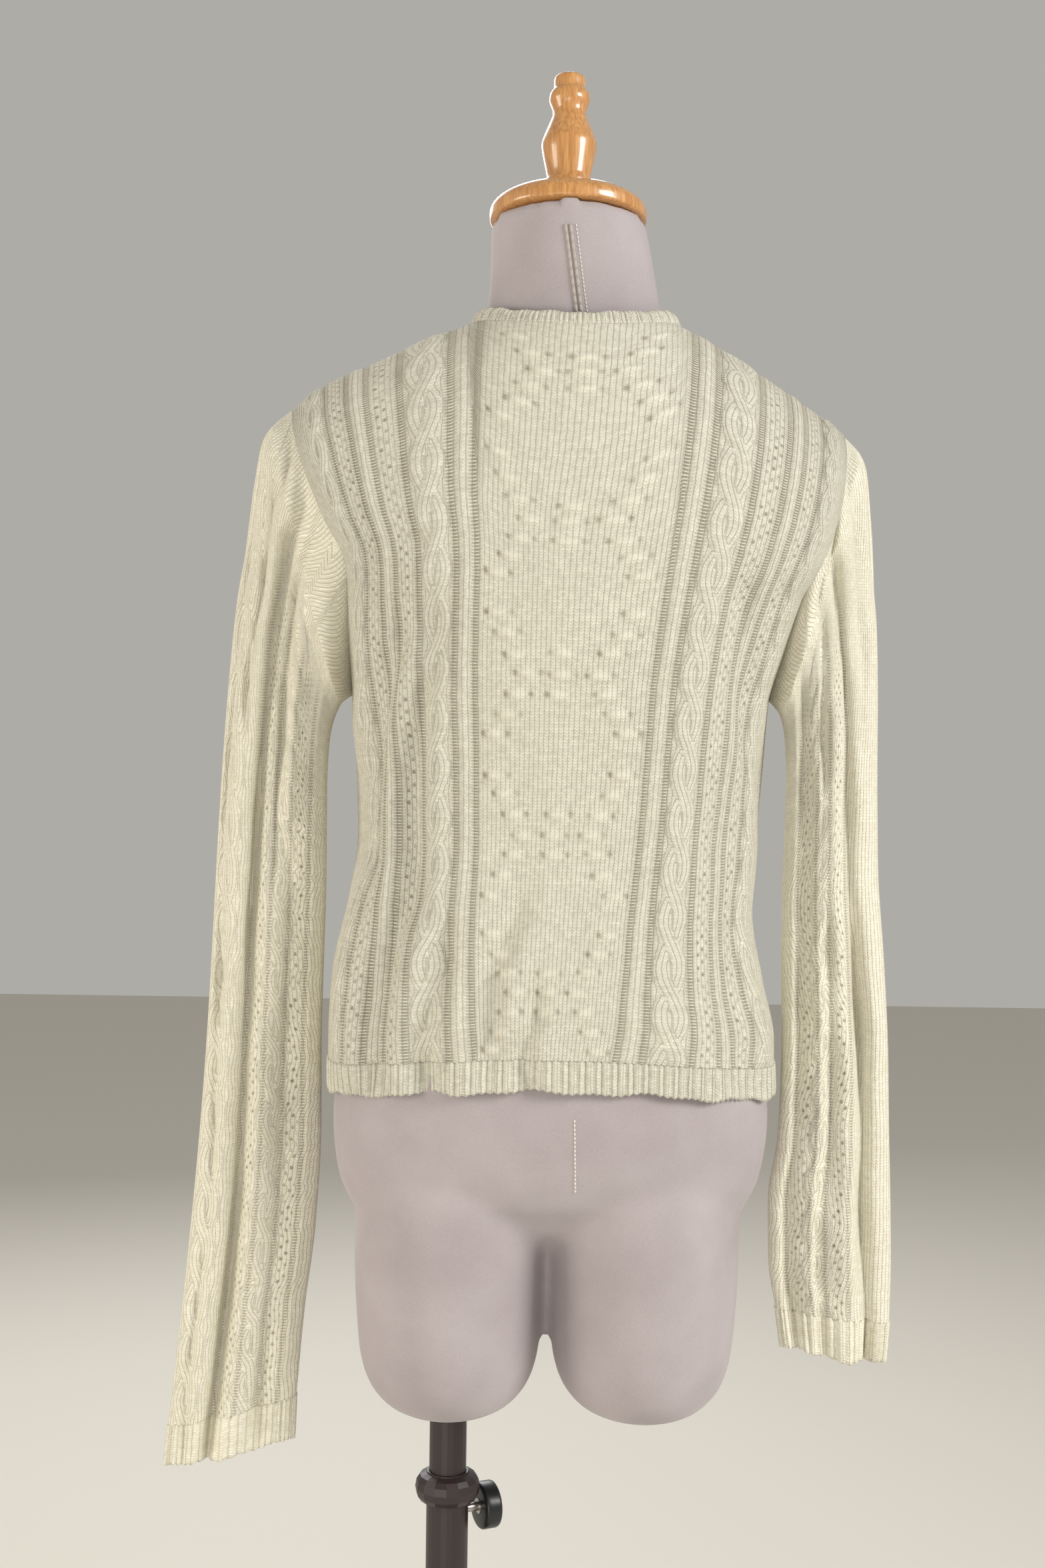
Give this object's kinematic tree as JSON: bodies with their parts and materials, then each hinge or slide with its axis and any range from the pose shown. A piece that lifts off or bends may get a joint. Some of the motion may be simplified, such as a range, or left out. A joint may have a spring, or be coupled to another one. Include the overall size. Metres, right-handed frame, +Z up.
{
  "type": "cable-knit cardigan on a limbless dress form",
  "caption": "Cream cable-knit cardigan with long empty sleeves, resting on a neck-to-thigh dress form with a wooden neck cap, on a height-adjustable pole stand with a round base.",
  "frame": {"origin": "on the floor, on the base's flat underside, straight under the middle of the dress form", "axes": "+Z up; -Y where the cardigan's front opening faces; +X towards the wearer's left sleeve"},
  "size_m": [0.4995, 0.4, 1.5483],
  "materials": {
    "cream_knit": "matte cable and lace knit with a slight sheen",
    "shell_button": "pearly",
    "grey_jersey": "matte jersey",
    "lacquered_wood": "clear lacquer",
    "brown_steel": "dark brown powder coat",
    "black_plastic": "satin moulded"
  },
  "bodies": {
    "stand": {"base": "brown_steel", "outer_tube": "brown_steel", "clamp_ring": "brown_steel"},
    "mast": {"mast": "brown_steel"},
    "form": {"form_body": "grey_jersey", "neck_cap": "lacquered_wood", "finial": "lacquered_wood", "back": "cream_knit", "front_left": "cream_knit", "front_right": "cream_knit", "hem_back": "cream_knit", "hem_front_left": "cream_knit", "hem_front_right": "cream_knit", "sleeve_left": "cream_knit", "sleeve_right": "cream_knit", "cuff_left": "cream_knit", "cuff_right": "cream_knit", "neckband": "cream_knit", "button_band_left": "cream_knit", "button_band_right": "cream_knit", "button_1": "shell_button", "button_2": "shell_button", "button_3": "shell_button", "button_4": "shell_button", "button_5": "shell_button", "button_6": "shell_button"},
    "knob": {"knob": "black_plastic"}
  },
  "joints": [
    {"name": "height_slide", "type": "slide", "parent": "stand", "child": "mast", "axis": [0, 0, 1], "range_m": [-0.04, 0.2]},
    {"name": "swivel", "type": "hinge", "parent": "mast", "child": "form", "pos_m": [0.0655, 0, 0.7], "axis": [0, 0, 1], "continuous": true},
    {"name": "knob_turn", "type": "hinge", "parent": "stand", "child": "knob", "pos_m": [0.0655, 0, 0.573], "axis": [-0.9063, -0.4226, 0], "continuous": true}
  ]
}
